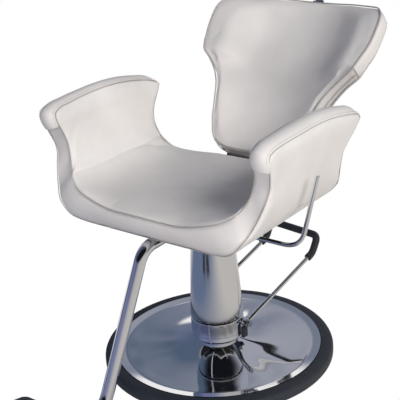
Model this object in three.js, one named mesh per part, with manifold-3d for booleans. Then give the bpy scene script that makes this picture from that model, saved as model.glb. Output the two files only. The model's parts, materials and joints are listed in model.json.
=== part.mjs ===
// Salon styling chair: round hydraulic pump base, swivelling seat shell with built-in arms,
// reclining winged back, height-adjustable headrest and a fixed footrest.
// Millimetres, +Z up. The origin is on the floor at the centre of the base. The sitter faces -Y,
// so the sitter's left is +X.

import * as THREE from 'three';
import { mergeVertices } from 'three/addons/utils/BufferGeometryUtils.js';
import Module from 'manifold-3d';

const wasm = await Module();
wasm.setup();

// ---- Driving dimensions ----

const GAP = 0.3; // kept between pieces that touch
const SIDES = { left: 1, right: -1 };

const BASE = {
  radius: 305,
  ringInner: 272,
  ringHeight: 30,
  plateThickness: 5,
  dishTop: 55,
  gutter: 250,
  gutterTop: 28,
  dishHole: 60,
  skin: 3,
};
const COLLAR = { radius: 70, seam: 75, top: 115, bore: 46, foot: [6, 8], edge: 2 };
const PUMP = {
  flange: 58,
  flangeTop: 16,
  radius: 42,
  boreRadius: 30,
  boreBottom: 132,
  top: 330,
  glandLength: 20,
};
const PISTON = { bottom: 134, thickness: 22, rodRadius: 16 };
const SLEEVE = { bottom: 118, top: 378, bottomRadius: 70, topRadius: 54.5, wall: 2.5 };

// pump lever: a bar bent into a U behind the chair, turned a little from the seat's centre line
const LEVER = { turn: -7.4, y: 23, z: 104, shaftRadius: 6, halfWidth: 84, bend: 18 };
const LEVER_BAR = { radius: 4.8, gripRadius: 10.5, gripOnLeg: 22 };
const LEVER_LEG = { rise: 19.3, length: 294 };
const LEVER_UPTURN = { y: 23, z: 43 };
const LEVER_STOP = { xs: [71, 79], ys: [15, 31], zs: [60, 90] };
const BUSH = { wall: 3, inner: 50, outer: 72 };
const HUB = { radius: 10, inner: 76, outer: 94, screwRadius: 8, screwHead: 4 };
const CAM = { hubRadius: 11, lobeRadius: 8, reach: 12, halfThickness: 7 };
const CAM_ROOM = { xs: [-9, 9], ys: [6, 60], zs: [86, 118] };
const PLUNGER = { radius: 5, bottom: 52, play: 0.5, sump: 8 };

// steelwork under the seat
const DECK = {
  plateBottom: 379,
  plateTop: 385,
  plateHalfDepth: 80,
  railTop: 415,
  railInner: 85,
  railOuter: 104,
  front: -168,
  rear: 148,
  crossRail: 20,
  frontRailTop: 396,
};
const BOARD = { thickness: 12, halfWidth: 195, front: -205, rear: 145, clearance: 0.5 };
const BOARD_SLOT = { halfWidth: 18, rear: -94 };

// seat shell: one bent panel that makes the seat and both arms
const SHELL_HALF_WIDTH = 350;

// back, in its own frame: x across, -y forward from its face, z up along the back from its bottom edge
const BACK = { y: 190, z: 495, tilt: 45, length: 487, cushion: 44, panel: 8 };
const CUP = { frontRadius: 400, rearRadius: 392, halfAngle: 0.8 };
const PANEL_INSET = 8;
const OVERRUN = 10; // how far a blank reaches past the outline that trims it
const LUMBAR = { height: 150, spread: 85, bulge: 20, depth: 30 };
const PIVOT = {
  behind: 64,
  up: 10,
  tubeRadius: 9,
  boreRadius: 7.3,
  pinRadius: 5,
  halfLength: 100,
  bushInner: 76,
  headRadius: 9,
  headThickness: 6,
};
const HINGE_PLATE = { front: 60, bottom: 387, heel: 208, neck: 190, eyeRadius: 19, thickness: 6 };
const BACK_FRAME = { halfWidth: 75, top: 230, bottom: 3, corner: 22, thickness: 5 };
const BACK_BOLT = { x: 52, heights: [70, 200], shank: 3, head: 7, headThickness: 4 };

// recline lock between the seat deck and the back's crank
const LOCK = {
  z: 398.8,
  neckRadius: 6,
  neckFront: -30,
  bodyRadius: 11,
  bodyFront: -7.7,
  bodyEnd: 125,
  boreRadius: 5.4,
  boreEnd: 40,
};
const LOCK_BRACKET = { halfWidth: 24, front: -22 };
const RELEASE_PIN = { radius: 2.5, holeRadius: 3, front: -47.7, rear: -14 };
const LOCK_ROD = { radius: 5, front: 70, eyeBottom: 386, slotBottom: 393.8, slotTop: 409.3 };
const CRANK = { length: 58, lean: 5, pinRadius: 4, armHalfWidth: 8, xs: [-13.5, -5.5], pinXs: [-8, 9] };

// release lever outside the left arm
const RELEASE = { y: -60, z: 399, radius: 5.5, inner: -12, bendX: 306, bend: 50, topX: 355, topZ: 590 };
const RELEASE_CAM = { radius: 12, halfThickness: 6, rise: 4 };
const RELEASE_BUSH_WALL = 2.7;

// footrest
const FOOT_TUBE = {
  radius: 15.5,
  bends: [36, 55],
  start: [0, -100, 412],
  knee: [0, -269, 412],
  heel: [0, -461, 60.5],
  toe: [0, -690, 109.2],
};
const FOOT_CRADLE = { xs: [-27, 27], ys: [-147.7, -104], zs: [386, 415] };
const FOOT_PLATE = { y: -549, z: 110, tilt: 12, halfWidth: 160, depth: 165, thickness: 8, corner: 18 };
const FOOT_MAT = { thickness: 5, inset: 3, corner: 15 };

// headrest, in the back's frame
const POST = { halfWidth: 12, front: 11, rear: 19, bottom: 352, top: 580 };
const SOCKET = { halfWidth: 16, wall: 3, bottom: 345, top: 492 };
const KNOB = { up: 440, stemRadius: 4, radius: 16, front: 60, rear: 76 };
const HEADREST = { up: 585, width: 250, height: 125, corner: 45, depth: 58, front: -62, middle: 624 };
const YOKE = { halfWidth: 30, thickness: 4, below: 9, above: 40, barrel: 9, play: 0.7 };
const TILT_PIN = { radius: 4, halfLength: 18 };

// ---- Materials ----

function finish(color, roughness, metalness) {
  return new THREE.MeshStandardMaterial({ color, roughness, metalness });
}

const chrome = () => finish(0xc9ccd2, 0.08, 1.0);
const steel = () => finish(0x8d9096, 0.35, 0.9);
const blackSteel = () => finish(0x1b1c20, 0.45, 0.5);
const blackRubber = () => finish(0x0f1014, 0.7, 0.0);
const bronze = () => finish(0x9a7440, 0.4, 0.8);
const nylon = () => finish(0xd9d6cc, 0.5, 0.0);
const plywood = () => finish(0x17171a, 0.8, 0.0);
const vinyl = () => finish(0xd5cfcb, 0.45, 0.0);
const blackPlastic = () => finish(0x17181b, 0.5, 0.0);

// ---- Solids: geometry in, geometry out, with booleans between closed meshes ----

function toSolid(geometry) {
  const bare = geometry.clone();
  bare.deleteAttribute('normal');
  bare.deleteAttribute('uv');
  const merged = mergeVertices(bare, 1e-4);
  const corners = merged.index.array;
  const triangles = [];
  for (let i = 0; i < corners.length; i += 3) {
    const [a, b, c] = corners.slice(i, i + 3);
    if (a !== b && b !== c && c !== a) triangles.push(a, b, c);
  }
  return new wasm.Manifold(new wasm.Mesh({
    numProp: 3,
    vertProperties: new Float32Array(merged.attributes.position.array),
    triVerts: new Uint32Array(triangles),
  }));
}

function toGeometry(solid) {
  const mesh = solid.getMesh();
  const geometry = new THREE.BufferGeometry();
  geometry.setAttribute('position', new THREE.BufferAttribute(mesh.vertProperties, 3));
  geometry.setIndex(new THREE.BufferAttribute(mesh.triVerts, 1));
  return geometry;
}

function cut(geometry, ...tools) {
  return toGeometry(tools.reduce((solid, tool) => solid.subtract(toSolid(tool)), toSolid(geometry)));
}

function join(geometry, ...others) {
  return toGeometry(others.reduce((solid, other) => solid.add(toSolid(other)), toSolid(geometry)));
}

function common(first, second) {
  return toGeometry(toSolid(first).intersect(toSolid(second)));
}

// ---- Shape helpers ----

function radians(degrees) {
  return THREE.MathUtils.degToRad(degrees);
}

function box(xs, ys, zs) {
  const geometry = new THREE.BoxGeometry(xs[1] - xs[0], ys[1] - ys[0], zs[1] - zs[0]);
  return geometry.translate((xs[0] + xs[1]) / 2, (ys[0] + ys[1]) / 2, (zs[0] + zs[1]) / 2);
}

// A round bar along 'x', 'y' or 'z' between two stations, centred on the other two coordinates.
function bar(axis, radius, from, to, centre, segments = 16) {
  const geometry = new THREE.CylinderGeometry(radius, radius, to - from, segments);
  const middle = (from + to) / 2;
  if (axis === 'x') return geometry.rotateZ(-Math.PI / 2).translate(middle, centre[0], centre[1]);
  if (axis === 'y') return geometry.translate(centre[0], middle, centre[1]);
  return geometry.rotateX(Math.PI / 2).translate(centre[0], centre[1], middle);
}

function pipe(axis, outer, inner, ends, centre, segments = 16) {
  const [from, to] = ends;
  return cut(
    bar(axis, outer, from, to, centre, segments),
    bar(axis, inner, from - 1, to + 1, centre, segments),
  );
}

// The two stations of a span, lowest first, on the side whose sign is given.
function span(side, near, far) {
  return [side * near, side * far].sort((a, b) => a - b);
}

// A turned piece about Z. The profile lists [radius, height] pairs with the outside going up.
function turned(profile, segments) {
  const points = profile.map(([radius, height]) => new THREE.Vector2(radius, height));
  return new THREE.LatheGeometry(points, segments).rotateX(Math.PI / 2);
}

function turnedRing(profile, segments) {
  return turned([...profile, profile[0]], segments);
}

function slab(shape, depth, curveSegments = 8) {
  return new THREE.ExtrudeGeometry(shape, { depth, bevelEnabled: false, curveSegments });
}

// An outline drawn in the (y, z) plane, thick along X.
function alongX(shape, from, to) {
  const basis = new THREE.Matrix4().makeBasis(
    new THREE.Vector3(0, 1, 0),
    new THREE.Vector3(0, 0, 1),
    new THREE.Vector3(1, 0, 0),
  );
  return slab(shape, to - from).applyMatrix4(basis).translate(from, 0, 0);
}

// An outline drawn in the (x, z) plane, thick along Y.
function alongY(shape, from, to) {
  return slab(shape, to - from).rotateX(Math.PI / 2).translate(0, to, 0);
}

function vectors(points) {
  return points.map(([a, b]) => new THREE.Vector2(a, b));
}

function smooth(points, divisions) {
  return new THREE.SplineCurve(vectors(points)).getPoints(divisions);
}

// The right half of a symmetric outline, listed upwards, and its mirror image.
function mirrored(half) {
  const other = half.map((point) => new THREE.Vector2(-point.x, point.y)).reverse();
  return [...half, ...other];
}

function roundedRectangle(width, height, radius) {
  const [x, y] = [width / 2, height / 2];
  const shape = new THREE.Shape();
  shape.absarc(x - radius, radius - y, radius, -Math.PI / 2, 0);
  shape.absarc(x - radius, y - radius, radius, 0, Math.PI / 2);
  shape.absarc(radius - x, y - radius, radius, Math.PI / 2, Math.PI);
  shape.absarc(radius - x, radius - y, radius, Math.PI, Math.PI * 1.5);
  return shape;
}

// A route of straight runs. Each corner is rounded over its own length in `bends`, before and after it.
function bentRoute(corners, bends) {
  const points = corners.map((corner) => new THREE.Vector3(...corner));
  const route = new THREE.CurvePath();
  let start = points[0];
  for (let i = 1; i < points.length - 1; i += 1) {
    const corner = points[i];
    const share = (other) => Math.min(0.49, bends[i - 1] / corner.distanceTo(other));
    const towards = (other) => corner.clone().lerp(other, share(other));
    const [before, after] = [towards(points[i - 1]), towards(points[i + 1])];
    route.add(new THREE.LineCurve3(start, before));
    route.add(new THREE.QuadraticBezierCurve3(before, corner, after));
    start = after;
  }
  route.add(new THREE.LineCurve3(start, points[points.length - 1]));
  return route;
}

function bentBar(route, radius, steps, halfSides = 6) {
  const section = new THREE.Shape();
  section.absarc(0, 0, radius, 0, Math.PI * 2);
  return new THREE.ExtrudeGeometry(section, { extrudePath: route, steps, curveSegments: halfSides });
}

// ---- Scene graph: the chair, the turned pump lever group and the leaning back group ----

const chair = new THREE.Group();

const leverGroup = new THREE.Group();
leverGroup.rotation.z = radians(LEVER.turn);
chair.add(leverGroup);

const backGroup = new THREE.Group();
backGroup.position.set(0, BACK.y, BACK.z);
backGroup.rotation.x = radians(-BACK.tilt);
chair.add(backGroup);

function add(group, name, geometry, material) {
  const mesh = new THREE.Mesh(geometry, material);
  mesh.name = name;
  group.add(mesh);
}

// A point of the back's own (y, z) plane in the chair's frame.
function fromBack(y, z) {
  const angle = radians(-BACK.tilt);
  return [
    BACK.y + y * Math.cos(angle) - z * Math.sin(angle),
    BACK.z + y * Math.sin(angle) + z * Math.cos(angle),
  ];
}

const pivotPoint = fromBack(PIVOT.behind, PIVOT.up);

// ---- Base ----

// The dish falls from the collar in a shallow curve to a gutter, and turns up to meet the ring.
function dishProfile() {
  const { dishHole, dishTop, gutter, gutterTop, ringInner, ringHeight, skin } = BASE;
  const stations = [0, 0.25, 0.5, 0.75, 1].map((share) => [
    dishHole + (gutter - dishHole) * share,
    gutterTop + (dishTop - gutterTop) * (1 - share) ** 1.5,
  ]);
  stations.push([ringInner - GAP, ringHeight + 1]);
  const under = stations.map(([radius, height]) => [radius, height - skin]);
  return [...under, ...stations.reverse()];
}

function buildBase() {
  const { radius, ringInner, ringHeight, plateThickness } = BASE;
  add(chair, 'base_ring', turnedRing([
    [ringInner, 0],
    [radius - 3, 0],
    [radius, 4],
    [radius, ringHeight - 9],
    [radius - 4, ringHeight - 3],
    [radius - 15, ringHeight],
    [ringInner, ringHeight],
  ], 48), blackRubber());
  add(chair, 'base_plate', turned([
    [0, 0],
    [ringInner - GAP, 0],
    [ringInner - GAP, plateThickness],
    [0, plateThickness],
  ], 48), blackSteel());
  add(chair, 'base_dish', turnedRing(dishProfile(), 48), chrome());
}

// ---- Pump ----

function plungerCentre() {
  const angle = radians(LEVER.turn);
  const reach = LEVER.y + CAM.reach;
  return [-Math.sin(angle) * reach, Math.cos(angle) * reach];
}

function leverFrame(geometry) {
  return geometry.rotateZ(radians(LEVER.turn));
}

function buildPump() {
  const { flange, flangeTop, radius, boreRadius, boreBottom, top, glandLength } = PUMP;
  const bottom = BASE.plateThickness + GAP;
  const shaftHole = leverFrame(bar('x', LEVER.shaftRadius + GAP, -HUB.inner, HUB.inner, [LEVER.y, LEVER.z]));
  const camRoom = leverFrame(box(CAM_ROOM.xs, CAM_ROOM.ys, CAM_ROOM.zs));
  const sump = PLUNGER.bottom - PLUNGER.sump;
  const plungerHole = bar('z', PLUNGER.radius + GAP, sump, LEVER.z, plungerCentre());
  add(chair, 'pump_cylinder', cut(turned([
    [0, bottom],
    [flange, bottom],
    [flange, flangeTop],
    [radius, flangeTop],
    [radius, top],
    [boreRadius, top],
    [boreRadius, boreBottom],
    [0, boreBottom],
  ], 32), shaftHole, camRoom, plungerHole), steel());
  add(chair, 'pump_gland', turnedRing([
    [PISTON.rodRadius + GAP, top - glandLength],
    [boreRadius - GAP, top - glandLength],
    [boreRadius - GAP, top],
    [PISTON.rodRadius + GAP, top],
  ], 24), bronze());
  const pistonTop = PISTON.bottom + PISTON.thickness;
  add(chair, 'pump_piston', bar('z', boreRadius - GAP, PISTON.bottom, pistonTop, [0, 0], 24), steel());
  const plungerTop = LEVER.z - CAM.lobeRadius - PLUNGER.play;
  add(chair, 'pump_plunger', bar('z', PLUNGER.radius, PLUNGER.bottom, plungerTop, plungerCentre()), steel());
}

function buildCollar() {
  const bottom = BASE.dishTop + GAP;
  const { radius, seam, top, bore, foot, edge } = COLLAR;
  const centre = [LEVER.y, LEVER.z];
  const bushRadius = LEVER.shaftRadius + BUSH.wall;
  const bushHole = leverFrame(bar('x', bushRadius + GAP, -HUB.inner, HUB.inner, centre));
  add(chair, 'collar_lower', turnedRing([
    [bore, bottom],
    [radius - foot[0], bottom],
    [radius, bottom + foot[1]],
    [radius, seam - GAP],
    [bore, seam - GAP],
  ], 36), chrome());
  add(chair, 'collar_upper', cut(turnedRing([
    [bore, seam],
    [radius, seam],
    [radius, top - edge],
    [radius - edge, top],
    [bore, top],
  ], 36), bushHole), chrome());
  for (const [name, side] of Object.entries(SIDES)) {
    const bush = pipe('x', bushRadius, LEVER.shaftRadius + GAP, span(side, BUSH.inner, BUSH.outer), centre);
    add(leverGroup, `shaft_bush_${name}`, bush, steel());
  }
  add(leverGroup, 'lever_stop', box(LEVER_STOP.xs, LEVER_STOP.ys, LEVER_STOP.zs), blackRubber());
}

// ---- Pump lever ----

function leverCorners() {
  const rise = radians(LEVER_LEG.rise);
  const alongLeg = (distance) => [
    LEVER.y + distance * Math.cos(rise),
    LEVER.z + distance * Math.sin(rise),
  ];
  const start = alongLeg(HUB.radius + GAP * 2);
  const elbow = alongLeg(LEVER_LEG.length);
  const top = [elbow[0] + LEVER_UPTURN.y, elbow[1] + LEVER_UPTURN.z];
  const grip = alongLeg(LEVER_LEG.length - LEVER_BAR.gripOnLeg);
  return { start, elbow, top, grip };
}

function leverRoute(first) {
  const { elbow, top } = leverCorners();
  const half = [first, elbow, top].map(([y, z]) => [LEVER.halfWidth, y, z]);
  const otherHalf = half.map(([x, y, z]) => [-x, y, z]).reverse();
  return bentRoute([...half, ...otherHalf], [LEVER.bend, LEVER.bend, LEVER.bend, LEVER.bend]);
}

function buildPumpLever() {
  const { start, grip } = leverCorners();
  const centre = [LEVER.y, LEVER.z];
  add(leverGroup, 'lever_shaft', bar('x', LEVER.shaftRadius, -HUB.outer, HUB.outer, centre), steel());
  add(leverGroup, 'pump_cam', cut(
    join(
      bar('x', CAM.hubRadius, -CAM.halfThickness, CAM.halfThickness, centre),
      bar('x', CAM.lobeRadius, -CAM.halfThickness, CAM.halfThickness, [LEVER.y + CAM.reach, LEVER.z]),
    ),
    bar('x', LEVER.shaftRadius + GAP, -CAM.halfThickness - 1, CAM.halfThickness + 1, centre),
  ), steel());
  for (const [name, side] of Object.entries(SIDES)) {
    const hub = pipe('x', HUB.radius, LEVER.shaftRadius + GAP, span(side, HUB.inner, HUB.outer), centre, 20);
    add(leverGroup, `lever_hub_${name}`, hub, chrome());
    const screw = span(side, HUB.outer + GAP, HUB.outer + HUB.screwHead);
    add(leverGroup, `hub_screw_${name}`, bar('x', HUB.screwRadius, ...screw, centre, 12), steel());
  }
  add(leverGroup, 'lever_bar', bentBar(leverRoute(start), LEVER_BAR.radius, 40, 4), chrome());
  add(leverGroup, 'lever_grip', cut(
    bentBar(leverRoute(grip), LEVER_BAR.gripRadius, 20, 5),
    bentBar(leverRoute(start), LEVER_BAR.radius + 2 * GAP, 40, 4),
  ), blackRubber());
}

// ---- Column and steel deck ----

function buildColumn() {
  const { bottom, top, bottomRadius, topRadius, wall } = SLEEVE;
  add(chair, 'column_sleeve', turnedRing([
    [bottomRadius - wall, bottom],
    [bottomRadius, bottom],
    [topRadius, top],
    [topRadius - wall, top],
  ], 36), chrome());
  const rodBottom = PISTON.bottom + PISTON.thickness + GAP;
  const rodTop = DECK.plateBottom - GAP;
  add(chair, 'piston_rod', bar('z', PISTON.rodRadius, rodBottom, rodTop, [0, 0], 24), chrome());
}

function railBox(side) {
  const xs = span(side, DECK.railInner, DECK.railOuter);
  return box(xs, [DECK.front, DECK.rear], [DECK.plateTop + GAP, DECK.railTop]);
}

function buildDeck() {
  const { plateTop, railTop, railInner, railOuter, front, rear, crossRail } = DECK;
  const inside = [GAP - railInner, railInner - GAP];
  const releaseCentre = [RELEASE.y, RELEASE.z];
  const bushRadius = RELEASE.radius + RELEASE_BUSH_WALL;
  const releaseHole = bar('x', bushRadius + GAP, railInner - 1, railOuter + 1, releaseCentre);
  const plateYs = [-DECK.plateHalfDepth, DECK.plateHalfDepth];
  add(chair, 'mount_plate', box([-railOuter, railOuter], plateYs, [DECK.plateBottom, plateTop]), blackSteel());
  add(chair, 'rail_left', cut(railBox(SIDES.left), releaseHole), blackSteel());
  add(chair, 'rail_right', railBox(SIDES.right), blackSteel());
  const bush = pipe('x', bushRadius, RELEASE.radius + GAP, [railInner, railOuter], releaseCentre);
  add(chair, 'release_bush', bush, nylon());
  const frontZs = [plateTop + GAP, DECK.frontRailTop];
  add(chair, 'cross_rail_front', box(inside, [front, front + crossRail], frontZs), blackSteel());
  const rodHole = bar('y', LOCK_ROD.radius + 5 * GAP, rear - crossRail - 1, rear + 1, [0, LOCK.z]);
  const rearRail = box(inside, [rear - crossRail, rear], [plateTop + GAP, railTop]);
  add(chair, 'cross_rail_rear', cut(rearRail, rodHole), blackSteel());
  const boardXs = [-BOARD.halfWidth, BOARD.halfWidth];
  const boardBottom = railTop + BOARD.clearance;
  const boardZs = [boardBottom, boardBottom + BOARD.thickness];
  const board = box(boardXs, [BOARD.front, BOARD.rear], boardZs);
  const slotXs = [-BOARD_SLOT.halfWidth, BOARD_SLOT.halfWidth];
  const slot = box(slotXs, [BOARD.front - 1, BOARD_SLOT.rear], [boardZs[0] - 1, boardZs[1] + 1]);
  add(chair, 'seat_board', cut(board, slot), plywood());
}

// ---- Seat shell: the bent panel's cross-section, trimmed by the side outline of seat and arms ----

function panelSection() {
  const inner = smooth([
    [0, 506], [100, 506], [165, 508], [205, 516], [238, 532], [257, 553], [269, 580], [276, 612],
    [282, 645], [283, 675], [287, 700], [291, 735],
  ], 26);
  const outer = smooth([
    [0, 428], [120, 428.5], [200, 431], [240, 440], [264, 460], [290, 492], [307, 528], [320, 575],
    [330, 620], [338, 665], [341, 700], [340, 735],
  ], 24);
  const half = [...outer, ...inner.reverse()];
  const left = half.slice(1, -1).map((point) => new THREE.Vector2(-point.x, point.y)).reverse();
  return new THREE.Shape([...half, ...left]);
}

function sideOutline() {
  return new THREE.Shape([
    ...smooth([[-238, 426], [-254, 432], [-262, 448], [-262, 474], [-256, 502], [-240, 528], [-219, 555],
      [-205, 580], [-201, 604], [-206, 630], [-221, 655], [-228, 679], [-222, 703], [-205, 714],
      [-150, 716], [-60, 719], [20, 715], [97, 702], [145, 690], [170, 681], [181, 669], [174, 649],
      [152, 629], [128, 608], [115, 580], [113, 548], [124, 521], [150, 499], [168, 476], [170, 452],
      [160, 430], [150, 426]], 84),
  ]);
}

function buildSeatShell() {
  const length = alongY(panelSection(), -300, 220);
  const side = alongX(sideOutline(), -SHELL_HALF_WIDTH, SHELL_HALF_WIDTH);
  add(chair, 'seat_shell', common(length, side), vinyl());
}

// ---- Recline hinge on the seat side, lock cylinder, lock rod ----

// A flat plate along the rail that rises behind the seat to a round eye at the pivot.
function hingePlateShape() {
  const [y, z] = pivotPoint;
  const { front, bottom, heel, neck, eyeRadius } = HINGE_PLATE;
  const shape = new THREE.Shape();
  shape.moveTo(front, bottom);
  shape.lineTo(heel, bottom);
  shape.absarc(y, z, eyeRadius, radians(-40), radians(190));
  shape.lineTo(neck, DECK.railTop);
  shape.lineTo(front, DECK.railTop);
  return shape;
}

function buildHinge() {
  const inner = DECK.railOuter + GAP;
  const outer = inner + HINGE_PLATE.thickness;
  for (const [name, side] of Object.entries(SIDES)) {
    const hole = bar('x', PIVOT.pinRadius + GAP, ...span(side, inner - 1, outer + 1), pivotPoint);
    const plate = alongX(hingePlateShape(), ...span(side, inner, outer));
    add(chair, `hinge_plate_${name}`, cut(plate, hole), blackSteel());
    add(chair, `hinge_bolt_${name}`, join(
      bar('x', PIVOT.pinRadius, ...span(side, PIVOT.bushInner + 2, outer + 1), pivotPoint),
      bar('x', PIVOT.headRadius, ...span(side, outer + GAP, outer + PIVOT.headThickness), pivotPoint, 6),
    ), steel());
  }
}

function buildLock() {
  const body = turned([
    [0, LOCK.neckFront],
    [LOCK.neckRadius, LOCK.neckFront],
    [LOCK.neckRadius, LOCK.bodyFront],
    [LOCK.bodyRadius, LOCK.bodyFront],
    [LOCK.bodyRadius, LOCK.bodyEnd],
    [LOCK.boreRadius, LOCK.bodyEnd],
    [LOCK.boreRadius, LOCK.boreEnd],
    [0, LOCK.boreEnd],
  ], 16).rotateX(-Math.PI / 2).translate(0, 0, LOCK.z);
  const centre = [0, LOCK.z];
  const pinHole = bar('y', RELEASE_PIN.holeRadius, LOCK.neckFront - 1, LOCK.bodyFront, centre, 12);
  add(chair, 'lock_cylinder', cut(body, pinHole), blackSteel());
  const { halfWidth, front } = LOCK_BRACKET;
  const bracketRear = LOCK.bodyFront - GAP;
  add(chair, 'lock_bracket', cut(
    box([-halfWidth, halfWidth], [front, bracketRear], [DECK.plateTop + GAP, DECK.railTop]),
    bar('y', LOCK.neckRadius + GAP, front - 1, bracketRear + 1, centre),
  ), steel());
  const pin = bar('y', RELEASE_PIN.radius, RELEASE_PIN.front, RELEASE_PIN.rear, centre, 10);
  add(chair, 'release_pin', pin, steel());
}

// The rod ends in an eye whose upright slot lets the crank's pin rise and fall on its arc.
function buildLockRod() {
  const { radius, front, eyeBottom, slotBottom, slotTop } = LOCK_ROD;
  const pinY = crankPinPoint()[0];
  const reach = CRANK.pinRadius + 1.4;
  const slot = box([-radius - 1, radius + 1], [pinY - reach, pinY + reach], [slotBottom, slotTop]);
  const eye = box([-radius, radius], [pinY - 2 * reach, pinY + 2 * reach], [eyeBottom, DECK.railTop]);
  const rod = bar('y', radius, front, pinY - 1.5 * reach, [0, LOCK.z]);
  add(chair, 'lock_rod', cut(join(rod, eye), slot), steel());
}

function crankPinPoint() {
  const lean = radians(CRANK.lean);
  return [
    pivotPoint[0] - CRANK.length * Math.sin(lean),
    pivotPoint[1] - CRANK.length * Math.cos(lean),
  ];
}

function buildReleaseLever() {
  const { y, z, radius, inner, bendX, bend, topX, topZ } = RELEASE;
  const route = bentRoute([[inner, y, z], [bendX, y, z], [topX, y, topZ]], [bend]);
  add(chair, 'release_lever', bentBar(route, radius, 26, 4), chrome());
  const half = RELEASE_CAM.halfThickness;
  add(chair, 'release_cam', cut(
    bar('x', RELEASE_CAM.radius, -half, half, [y, z + RELEASE_CAM.rise], 20),
    bar('x', radius + GAP, -half - 1, half + 1, [y, z], 10),
  ), steel());
}

// ---- Back ----

// A cupped strip between two arcs that cross the centre line at the given depths, each with its own radius.
function cupSection(front, rear, frontRadius = CUP.frontRadius) {
  const { rearRadius, halfAngle } = CUP;
  const down = -Math.PI / 2;
  const shape = new THREE.Shape();
  shape.absarc(0, rearRadius - rear, rearRadius, down - halfAngle, down + halfAngle, false);
  shape.absarc(0, frontRadius - front, frontRadius, down + halfAngle, down - halfAngle, true);
  return shape;
}

// A cupped slab, straight up the back and a little longer than it at both ends.
function cupSlab(section) {
  const depth = BACK.length + 2 * OVERRUN;
  return slab(section, depth).rotateX(Math.PI).translate(0, 0, depth - OVERRUN);
}

// The front of the cushion, whose path swells forward at the lumbar.
function lumbarSlab() {
  const shares = Array.from({ length: 12 }, (_, i) => i / 11);
  const stations = shares.map((share) => (BACK.length + 2 * OVERRUN) * share - OVERRUN);
  const push = (s) => LUMBAR.bulge * Math.exp(-(((s - LUMBAR.height) / LUMBAR.spread) ** 2));
  const path = new THREE.CatmullRomCurve3(stations.map((s) => new THREE.Vector3(0, -push(s), s)));
  return new THREE.ExtrudeGeometry(cupSection(0, LUMBAR.depth), {
    extrudePath: path,
    steps: 18,
    curveSegments: 8,
  });
}

function backOutline(inset) {
  const half = smooth([
    [0, 6], [72, 6], [108, 12], [134, 36], [149, 80], [158, 129], [178, 182], [206, 226], [235, 256],
    [252, 300], [259, 352], [255, 406], [232, 440], [160, 469], [79, 482], [0, 487],
  ], 36);
  const middle = BACK.length / 2;
  const shrink = (value, centre) => centre + (value - centre) * (1 - inset / middle);
  const shrunk = half.map((point) => new THREE.Vector2(shrink(point.x, 0), shrink(point.y, middle)));
  return new THREE.Shape(mirrored(shrunk.slice(1, -1)));
}

function buildBack() {
  const blank = (inset) => alongY(backOutline(inset), -200, 80);
  const cushion = common(blank(0), join(cupSlab(cupSection(0, BACK.cushion)), lumbarSlab()));
  add(backGroup, 'back_cushion', cut(cushion, socketSolid(GAP), knobHole(GAP + 1)), vinyl());
  const boltHoles = backBoltPlaces().map((place) => bar('y', BACK_BOLT.shank + GAP, 30, 90, place, 12));
  const behind = BACK.cushion + GAP;
  const panelSlab = cupSlab(cupSection(behind, behind + BACK.panel, CUP.rearRadius));
  const panel = common(blank(PANEL_INSET), panelSlab);
  add(backGroup, 'back_panel', cut(panel, ...boltHoles, knobHole(GAP + 1)), vinyl());
  buildBackFrame(boltHoles);
}

function backBoltPlaces() {
  return BACK_BOLT.heights.flatMap((z) => [[-BACK_BOLT.x, z], [BACK_BOLT.x, z]]);
}

function buildBackFrame(boltHoles) {
  const front = BACK.cushion + BACK.panel + 2 * GAP;
  const rear = front + BACK_FRAME.thickness;
  const height = BACK_FRAME.top - BACK_FRAME.bottom;
  const outline = roundedRectangle(BACK_FRAME.halfWidth * 2, height, BACK_FRAME.corner);
  const plate = alongY(outline, front, rear).translate(0, 0, BACK_FRAME.top - height / 2);
  const centre = [PIVOT.behind, PIVOT.up];
  const tube = bar('x', PIVOT.tubeRadius, -PIVOT.halfLength, PIVOT.halfLength, centre, 20);
  const bore = bar('x', PIVOT.boreRadius, -PIVOT.halfLength - 1, PIVOT.halfLength + 1, centre, 20);
  add(backGroup, 'back_frame', cut(join(plate, tube), bore, ...boltHoles), blackSteel());
  for (const [name, side] of Object.entries(SIDES)) {
    const ends = span(side, PIVOT.bushInner, PIVOT.halfLength);
    const bush = pipe('x', PIVOT.boreRadius - GAP, PIVOT.pinRadius + GAP, ends, centre);
    add(backGroup, `hinge_bush_${name}`, bush, nylon());
  }
  backBoltPlaces().forEach(([x, z], index) => {
    add(backGroup, `back_bolt_${index + 1}`, join(
      bar('y', BACK_BOLT.shank, BACK.cushion + 2, rear + 1, [x, z], 10),
      bar('y', BACK_BOLT.head, rear + GAP, rear + BACK_BOLT.headThickness, [x, z], 6),
    ), steel());
  });
  add(chair, 'back_crank', crankGeometry(), blackSteel());
}

// The crank hangs from a ring around the pivot tube. Its pin rides in the lock rod's slot.
function crankGeometry() {
  const [y, z] = pivotPoint;
  const { length, lean, pinRadius, armHalfWidth, xs, pinXs } = CRANK;
  const arm = box(xs, [-armHalfWidth, armHalfWidth], [-length, 0]).rotateX(radians(-lean)).translate(0, y, z);
  const clamp = bar('x', PIVOT.tubeRadius + 6, ...xs, pivotPoint, 20);
  const pin = bar('x', pinRadius, ...pinXs, crankPinPoint());
  const toe = bar('x', armHalfWidth, ...xs, crankPinPoint());
  const tubeHole = bar('x', PIVOT.tubeRadius + GAP, xs[0] - 1, xs[1] + 1, pivotPoint, 20);
  const frameRear = BACK.cushion + BACK.panel + BACK_FRAME.thickness + 3 * GAP;
  const plateRoom = box([-30, 30], [-30, frameRear], [-30, 60]);
  plateRoom.rotateX(radians(-BACK.tilt)).translate(0, BACK.y, BACK.z);
  return cut(join(clamp, arm, toe, pin), tubeHole, plateRoom);
}

// ---- Headrest ----

function socketSolid(margin) {
  const { halfWidth, wall, bottom, top } = SOCKET;
  return box(
    [-halfWidth - margin, halfWidth + margin],
    [POST.front - wall - margin, POST.rear + wall + margin],
    [bottom - margin, top + margin],
  );
}

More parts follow.
